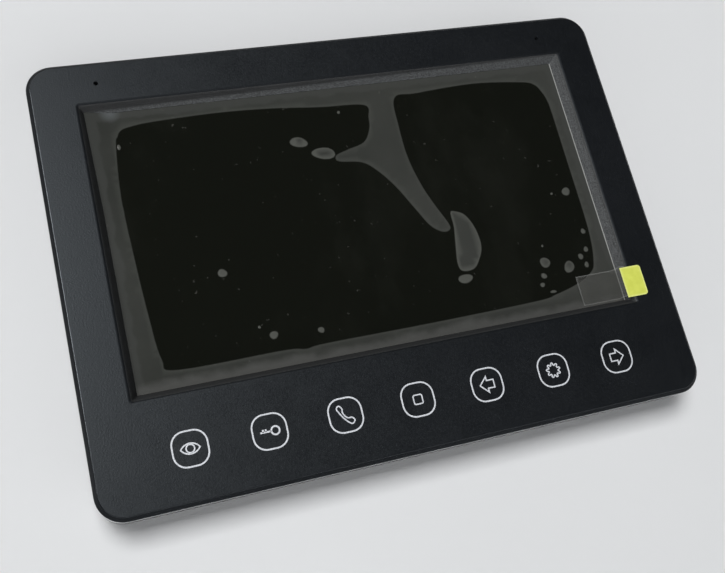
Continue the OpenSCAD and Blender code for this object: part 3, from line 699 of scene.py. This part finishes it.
def oval(x, z, w, h, turn, count=16):
    """An oval bubble's outline, a little out of round."""
    a = np.radians(turn)
    points = []
    for k in range(count):
        t = 2 * math.pi * k / count
        wobble = 1 + 0.06 * math.sin(2 * t + x) + 0.04 * math.sin(3 * t + z)
        u, v = w / 2 * math.cos(t) * wobble, h / 2 * math.sin(t) * wobble
        points.append((x + u * math.cos(a) - v * math.sin(a),
                       z + u * math.sin(a) + v * math.cos(a)))
    return np.array(points)


# Where the film clings to the display, with a lifted channel that enters from the top
CLING = [
    (-70.1, 43.8), (-68.9, 45.6), (-66.1, 46.5), (-59, 47.3), (-39.6, 47.8), (-21.8, 47.1),
    (-6.2, 45.6), (8.2, 44.6), (8.6, 40.2), (7.7, 35.8), (4.9, 31.9), (-0.7, 30.2), (-5.1, 28.6),
    (-4.6, 26.3), (2.7, 24.9), (7.1, 21.3), (11.6, 15.2), (16, 6.9), (19.3, 0.8), (22.7, -2),
    (25.4, -2), (26, 0.2), (23.2, 6.9), (20.4, 14.7), (18.4, 24.7), (18.2, 35.8), (19.3, 45.8),
    (27.1, 46.6), (47.7, 47.6), (65.1, 46.1), (69.9, 44.6), (71.9, 41.4), (72.8, 38.3),
    (73.1, 33.5), (73.1, 13.6), (73.1, -4.2), (72.6, -13.1), (71.4, -19.5), (69.6, -23.2),
    (63.5, -26.4), (55, -28.6), (47.1, -29.6), (11.6, -30.1), (-21.8, -30.1), (-28.4, -30.6),
    (-35.1, -29.8), (-65.7, -29.6), (-69.6, -25.9), (-70.9, -13.1), (-71.8, 4.7), (-72.3, 24.7),
    (-71, 40.9),
]
KIDNEY = [
    (27.2, 3.9), (28.8, 4.3), (32.1, 2.4), (34.3, -2.6), (34.7, -8.7), (32.7, -13.1),
    (29.9, -15.9), (26, -15.9), (24.9, -13.1), (26, -6.4), (27, -1),
]
# Bubbles: x, z, width, height, turn in degrees
BUBBLES = [
    (26.3, -18.4, 5, 3.4, 0), (-15.9, 34.6, 6, 3.8, -8), (-8.8, 29.8, 8.2, 4.2, -6),
    (-47.9, -3.7, 3, 3, 0), (-36.9, -24.9, 2.8, 2.8, 0), (-22.7, -26, 2.2, 2.2, 0),
    (69.3, 4.9, 3.2, 3.2, 0), (64, 4.9, 1, 1, 0), (54.4, -17.8, 4, 3.6, 0),
    (52.7, -22.1, 2.2, 2.2, 0), (51.3, -24.9, 1.8, 1.8, 0), (54.3, -27.7, 2.6, 1.1, 0),
    (62.3, -20.6, 4.6, 3.6, 40), (67.4, -17.9, 2.2, 2.2, 0), (55.2, -12.2, 0.9, 0.9, 0),
    (-40.6, -21.8, 1, 1, 0), (-0.7, 43.2, 1.2, 1.2, 0), (71, -9.6, 1.8, 2.2, 0),
    (70, -15.8, 1.8, 2.2, 0), (68.6, -20.9, 1.8, 2.2, 0), (-70.4, 40.4, 1.3, 1.9, 0),
]


def film_border(steps_x=60, steps_z=34):
    """Evenly spaced points around the film's edge."""
    x0, x1, z0, z1 = film_low.x, film_high.x, film_low.z, film_high.z
    return ([(x0 + (x1 - x0) * k / steps_x, z0) for k in range(steps_x)]
            + [(x1, z0 + (z1 - z0) * k / steps_z) for k in range(steps_z)]
            + [(x1 - (x1 - x0) * k / steps_x, z1) for k in range(steps_x)]
            + [(x0, z1 - (z1 - z0) * k / steps_z) for k in range(steps_z)])


def film_layout():
    """The film laid flat: points, triangles, and how lifted and how rim-like each point is."""
    # A bubble's rim is rim_width, or rim_share of a small bubble's radius; clear keeps the grid's
    # points off the loops
    rim_width, rim_share, faint_rim, grid, clear = 0.35, 0.3, 0.3, 1.9, 0.75
    cling = smooth_loop(CLING)
    blobs = [smooth_loop(KIDNEY)] + [oval(*b) for b in BUBBLES]
    points, edges, lift, rim = [], [], [], []

    def add_loop(curve, lifted, on_rim):
        first, count = len(points), len(curve)
        points.extend(map(tuple, curve))
        edges.extend((first + k, first + (k + 1) % count) for k in range(count))
        lift.extend([lifted] * count)
        rim.extend([on_rim] * count)

    add_loop(np.array(film_border()), 1.0, 0.0)
    add_loop(cling, 0.0, 0.0)
    outward = 1 if area_of(cling) < 0 else -1
    add_loop(offset_loop(cling, outward * rim_width), 1.0, faint_rim)
    for blob in blobs:
        inward = 1 if area_of(blob) > 0 else -1
        width = min(rim_width, rim_share * math.sqrt(abs(area_of(blob)) / math.pi))
        add_loop(blob, 0.0, 0.0)
        add_loop(offset_loop(blob, inward * width), 1.0, 1.0)

    # A loose grid between the loops, so that the sheet can wave
    xs = np.arange(film_low.x + grid, film_high.x - grid / 2, grid)
    zs = np.arange(film_low.z + grid, film_high.z - grid / 2, grid)
    field = np.array([(x, z) for x in xs for z in zs])
    fixed = np.array(points)
    near = np.array([np.min(np.sum((fixed - p) ** 2, 1)) for p in field])
    field = field[near > clear ** 2]
    raised = ~inside(field, cling)
    for blob in blobs:
        raised |= inside(field, blob)
    points.extend(map(tuple, field))
    lift.extend(raised.astype(float))
    rim.extend([0.0] * len(field))

    flat, _, triangles, sources, _, _ = delaunay_2d_cdt(
        [Vector(p) for p in points], edges, [], 1, 1e-5, True)
    lift = [max([lift[s] for s in group] or [0.0]) for group in sources]
    rim = [max([rim[s] for s in group] or [0.0]) for group in sources]
    return flat, triangles, lift, rim


def sheet_faces(triangles, count):
    """The front and back of a thin sheet, and the wall around its border."""
    faces = []
    for tri in triangles:
        faces += [tuple(reversed(tri)), tuple(count + k for k in tri)]
    sides = [pair for tri in triangles for pair in zip(tri, tri[1:] + tri[:1])]
    known = set(sides)
    faces += [(a, b, count + b, count + a) for a, b in sides if (b, a) not in known]
    return faces


def protective_film(materials):
    """The film as a thin sheet that stands clear of the glass wherever it has lifted.

    Its upper left corner curls up along the window's slopes.
    """
    thickness, cling_gap, rise = 0.035, 0.012, 0.085
    curl_w, curl_h, curl_rise = 7, 32, 1.3
    wave_size, wave_layer = 13, 2.7
    lean = SLOPE / (SCREEN_Y - FRONT_Y)
    flat, triangles, lift, rim = film_layout()
    front, back = [], []
    for p, lifted in zip(flat, lift):
        wave = 0.5 + 0.5 * noise.noise(Vector((p.x / wave_size, p.y / wave_size, wave_layer)))
        y = GLASS_Y - cling_gap - thickness - lifted * rise * (0.6 + 0.4 * wave)
        from_corner = math.hypot((p.x - film_low.x) / curl_w, (film_high.z - p.y) / curl_h)
        curl = curl_rise * max(0, 1 - from_corner)
        x, z = p.x - lean * curl, p.y + lean * curl
        front.append((x, y - curl, z))
        back.append((x, y - curl + thickness, z))
    mesh = mesh_from("screen_film", front + back, sheet_faces(triangles, len(flat)))
    for name, numbers in (("lift", lift), ("rim", rim)):
        layer = mesh.attributes.new(name, "FLOAT", "POINT")
        layer.data.foreach_set("value", np.array(numbers + numbers, np.float32))
    soften(mesh, 50)
    piece = add_object("screen_film", mesh, "monitor", [materials["film"]])
    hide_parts("protective_film")


def pull_tape(materials):
    """The tape lies on the film and rises at its end to the back of the tab."""
    thickness, fold_x, on_tab = 0.06, 76.3, 0.4
    behind_tab = tab_high.y + thickness
    path = [(tape_low.x, film_low.y), (fold_x, film_low.y),
            (tab_low.x + on_tab, behind_tab), (tape_high.x, behind_tab)]
    # Points 0-3 and 4-7 are the back and front of the lower edge, 8-11 and 12-15 of the upper edge
    points, faces = [], []
    for z in (tape_low.z, tape_high.z):
        points += [(x, y, z) for x, y in path] + [(x, y - thickness, z) for x, y in path]
    for i in range(len(path) - 1):
        faces += [(i, i + 1, i + 9, i + 8), (i + 4, i + 12, i + 13, i + 5),
                  (i, i + 4, i + 5, i + 1), (i + 8, i + 9, i + 13, i + 12)]
    faces += [(0, 8, 12, 4), (3, 7, 15, 11)]
    mesh = mesh_from("pull_tape", points, faces)
    soften(mesh)
    piece = add_object("pull_tape", mesh, "monitor", [materials["clear_tape"]])
    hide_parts("tab_tape")


# ---------------------------------------------------------------- printed key symbols

def stroke(points, width, closed):
    """Left and right borders of a line of even width with mitred corners."""
    least_cosine = 0.35  # keeps the point of a sharp corner short
    count = len(points)
    left, right = [], []
    for i in range(count):
        here = Vector(points[i])
        before = Vector(points[(i - 1) % count]) if closed or i > 0 else None
        after = Vector(points[(i + 1) % count]) if closed or i < count - 1 else None
        d0 = (here - before).normalized() if before else (after - here).normalized()
        d1 = (after - here).normalized() if after else d0
        n0, n1 = Vector((-d0.y, d0.x)), Vector((-d1.y, d1.x))
        mitre = (n0 + n1).normalized()
        reach = width / 2 / max(least_cosine, mitre.dot(n1))
        left.append(here + mitre * reach)
        right.append(here - mitre * reach)
    return left, right


def stroke_mesh(lines, centre_x, width):
    """Points and faces of closed ink bodies for lines of (points, closed)."""
    ink_back, ink_front = FRONT_Y + 0.01, FRONT_Y - 0.035
    points, faces = [], []
    for line, closed in lines:
        left, right = stroke(line, width, closed)
        first, count = len(points), len(left)
        for y in (ink_front, ink_back):
            for side in (left, right):
                points += [(centre_x + p.x, y, KEY_Z + p.y) for p in side]
        fl, fr, bl, br = (first + k * count for k in range(4))
        for i in range(count if closed else count - 1):
            n = (i + 1) % count
            faces += [(fl + i, fl + n, fr + n, fr + i), (bl + i, br + i, br + n, bl + n),
                      (fl + i, bl + i, bl + n, fl + n), (fr + i, fr + n, br + n, br + i)]
        if not closed:
            faces += [(fl, fr, br, bl)]
            e = count - 1
            faces += [(fl + e, bl + e, br + e, fr + e)]
    return points, faces


def circle_points(x, z, r, count=32):
    turns = [2 * math.pi * k / count for k in range(count)]
    return [(x + r * math.cos(a), z + r * math.sin(a)) for a in turns]


def small_round_rect(half, r, corner_steps=8):
    points = []
    for quarter, (sx, sz) in enumerate(QUARTERS):
        for step in range(corner_steps + 1):
            angle = math.radians(90 * quarter + 90 * step / corner_steps)
            points.append((sx * (half - r) + r * math.cos(angle),
                           sz * (half - r) + r * math.sin(angle)))
    return points


def eye_symbol():
    half_w, half_h, count = 2.66, 1.46, 14
    radius = (half_w ** 2 + half_h ** 2) / (2 * half_h)
    reach = math.asin(half_w / radius)
    lids = []
    for side in (1, -1):
        for k in range(count):
            a = side * (-reach + 2 * reach * k / count)
            lids.append((radius * math.sin(a), side * (radius * math.cos(a) - radius + half_h)))
    return [(lids, True), (circle_points(0, 0, 1.15), True)]


def key_symbol():
    bow_x, bow_r = 1.6, 1.18
    return [(circle_points(bow_x, 0, bow_r), True), ([(bow_x - bow_r, 0), (-2.75, 0)], False),
            ([(-1.9, 0), (-1.9, 0.8)], False), ([(-1.1, 0), (-1.1, 0.8)], False)]


def handset_symbol():
    """A receiver's outline: two rounded lobes joined by a bowed grip."""
    outline = [(-1.3, 2.78), (-0.72, 1.9), (-0.8, 0.8), (-0.1, -0.45), (0.75, -0.98),
               (1.6, -0.95), (2.35, -1.85), (1.5, -2.75), (0.45, -2.15), (-0.9, -0.6),
               (-1.9, 1.15), (-2.3, 2.1), (-1.95, 2.75)]
    return [([tuple(p) for p in smooth_loop(outline, 5)], True)]


def arrow_symbol(direction):
    tip, neck, tail, head_half, shaft_half = -2.3, 0.05, 2.2, 2.4, 1.2
    outline = [(tip, 0), (neck, head_half), (neck, shaft_half), (tail, shaft_half),
               (tail, -shaft_half), (neck, -shaft_half), (neck, -head_half)]
    return [([(-direction * x, z) for x, z in outline][::1 if direction < 0 else -1], True)]


def cog_symbol():
    teeth, count, middle, depth, squareness = 9, 144, 1.9, 0.37, 1.3
    outline = []
    for k in range(count):
        a = 2 * math.pi * k / count
        wave = math.tanh(squareness * math.sin(teeth * a)) / math.tanh(squareness)
        r = middle + depth * wave
        outline.append((r * math.cos(a), r * math.sin(a)))
    return [(outline, True)]


def key_prints(materials):
    """White outlines and symbols on the touch keys."""
    frame_half, frame_corner = 4.93, 3.7
    frame_width, symbol_width, key_width = 0.45, 0.38, 0.48
    symbols = [("eye", eye_symbol()), ("key", key_symbol()), ("handset", handset_symbol()),
               ("square", [(small_round_rect(1.36, 0.5), True)]), ("left", arrow_symbol(-1)),
               ("cog", cog_symbol()), ("right", arrow_symbol(1))]
    for i, (name, lines) in enumerate(symbols):
        x = (i - (KEY_COUNT - 1) / 2) * KEY_PITCH
        frame_line = [(small_round_rect(frame_half, frame_corner), True)]
        points, faces = stroke_mesh(frame_line, x, frame_width)
        more, more_faces = stroke_mesh(lines, x, key_width if name == "key" else symbol_width)
        faces += [tuple(len(points) + k for k in face) for face in more_faces]
        mesh = mesh_from("key_print_" + name, points + more, faces)
        soften(mesh)
        add_object("key_print_" + name, mesh, "monitor", [materials["key_ink"]])


# ---------------------------------------------------------------- stage, light and camera

def plain_surface(name, color):
    """Matt paint with a barely uneven tone: its node tree and the material."""
    n = Nodes(name)
    dark, light = shades(color, 0.02)
    tone = n.blend(n.spread(n.noise(180, 3), 0, 1), dark, light)
    return n, n.finish(tone, 0.7, n.bump(n.noise(1.5, 3), 0.01))


def stage_plane(name, corners, material):
    mesh = mesh_from(name, corners, [(0, 1, 2, 3)])
    mesh.materials.append(material)
    piece = bpy.data.objects.new(name, mesh)
    bpy.context.scene.collection.objects.link(piece)
    return piece


def stage():
    """A pale wall behind the monitor, which can be seen only from its front, and a pale floor."""
    reach, floor_z, wall_y = 1600, -700, 0.4
    n, wall_material = plain_surface("wall_paint", (0.78, 0.79, 0.8))
    clear = n.tree.nodes.new("ShaderNodeBsdfTransparent")
    facing = n.tree.nodes.new("ShaderNodeNewGeometry").outputs["Backfacing"]
    mix = n.tree.nodes.new("ShaderNodeMixShader")
    n.link(facing, mix.inputs["Fac"])
    n.link(n.shader.outputs["BSDF"], mix.inputs[1])
    n.link(clear.outputs["BSDF"], mix.inputs[2])
    n.link(mix.outputs["Shader"], n.tree.nodes["Material Output"].inputs["Surface"])
    wall = stage_plane("wall", [(-reach, wall_y, floor_z), (reach, wall_y, floor_z),
                                (reach, wall_y, reach), (-reach, wall_y, reach)], wall_material)
    wall.visible_shadow = False
    _, floor_material = plain_surface("floor_paint", (0.74, 0.74, 0.74))
    stage_plane("floor", [(-reach, -reach, floor_z), (reach, -reach, floor_z),
                          (reach, reach, floor_z), (-reach, reach, floor_z)], floor_material)


def receivers(name, state):
    """A light's list of receivers, in which the stage is included or excluded."""
    group = bpy.data.collections.new(name)
    for piece in ("wall", "floor"):
        group.objects.link(bpy.data.objects[piece])
    for member in group.collection_objects:
        member.light_linking.link_state = state
    return group


def area_light(name, place, aim, size, power, reach=None, color=(1, 1, 1)):
    data = bpy.data.lights.new(name, "AREA")
    data.shape = "RECTANGLE"
    data.size, data.size_y = size
    data.energy = power
    data.color = color
    light = bpy.data.objects.new(name, data)
    light.location = place
    light.rotation_euler = (Vector(aim) - Vector(place)).to_track_quat("-Z", "Y").to_euler()
    bpy.context.scene.collection.objects.link(light)
    light.light_linking.receiver_collection = reach
    return light


def lighting():
    """Soft lights on the monitor, and one of its own for the wall and floor."""
    origin = (0, 0, 0)
    off_stage, stage_only = receivers("off_stage", "EXCLUDE"), receivers("stage_only", "INCLUDE")
    area_light("key", (-0.62, -1.0, 0.38), origin, (0.55, 0.55), 13.5, off_stage, (1, 0.995, 0.985))
    fill = area_light("low_fill", (-0.1, -0.25, -0.5), origin, (0.4, 0.3), 1.25,
                      off_stage, (0.97, 0.985, 1))
    fill.visible_glossy = False
    area_light("rear_key", (0.7, 0.9, 0.5), origin, (0.7, 0.7), 19)
    area_light("rear_fill", (-0.8, 0.8, 0.1), origin, (0.7, 0.7), 12)
    area_light("wall_wash", (-0.4, -2.2, 0.64), (0, 0, 0.9), (1, 1), 44, stage_only)


def surroundings():
    """A dim room that looks pale where it is seen past the stage."""
    world = bpy.data.worlds.new("room")
    bpy.context.scene.world = world
    world.use_nodes = True
    tree = world.node_tree
    background = tree.nodes["Background"]
    background.inputs["Color"].default_value = (0.05, 0.052, 0.055, 1)
    seen = tree.nodes.new("ShaderNodeBackground")
    seen.inputs["Color"].default_value = (0.72, 0.72, 0.73, 1)
    path = tree.nodes.new("ShaderNodeLightPath")
    mix = tree.nodes.new("ShaderNodeMixShader")
    tree.links.new(path.outputs["Is Camera Ray"], mix.inputs["Fac"])
    tree.links.new(background.outputs["Background"], mix.inputs[1])
    tree.links.new(seen.outputs["Background"], mix.inputs[2])
    tree.links.new(mix.outputs["Shader"], tree.nodes["World Output"].inputs["Surface"])


def camera():
    """The photo's camera, solved from the perspective of the panel's outline."""
    data = bpy.data.cameras.new("camera")
    data.lens = 45.78
    data.sensor_width = 36
    data.clip_start = 10 * MM
    place = Vector((-84.5, FRONT_Y - 257.8, -82.2)) * MM
    right = Vector((0.94659, -0.21997, -0.23576))
    up = Vector((0.16692, -0.29129, 0.94196))
    back = -Vector((0.27588, 0.931, 0.23902))
    turn = Matrix((right, up, back)).transposed()
    eye = bpy.data.objects.new("camera", data)
    eye.matrix_world = Matrix.Translation(place) @ turn.to_4x4()
    bpy.context.scene.collection.objects.link(eye)
    bpy.context.scene.camera = eye


materials = build_materials()
dress_frame(materials)
front_panel(materials)
protective_film(materials)
pull_tape(materials)
key_prints(materials)
stage()
lighting()
surroundings()
camera()
bpy.context.scene.view_settings.view_transform = "Standard"
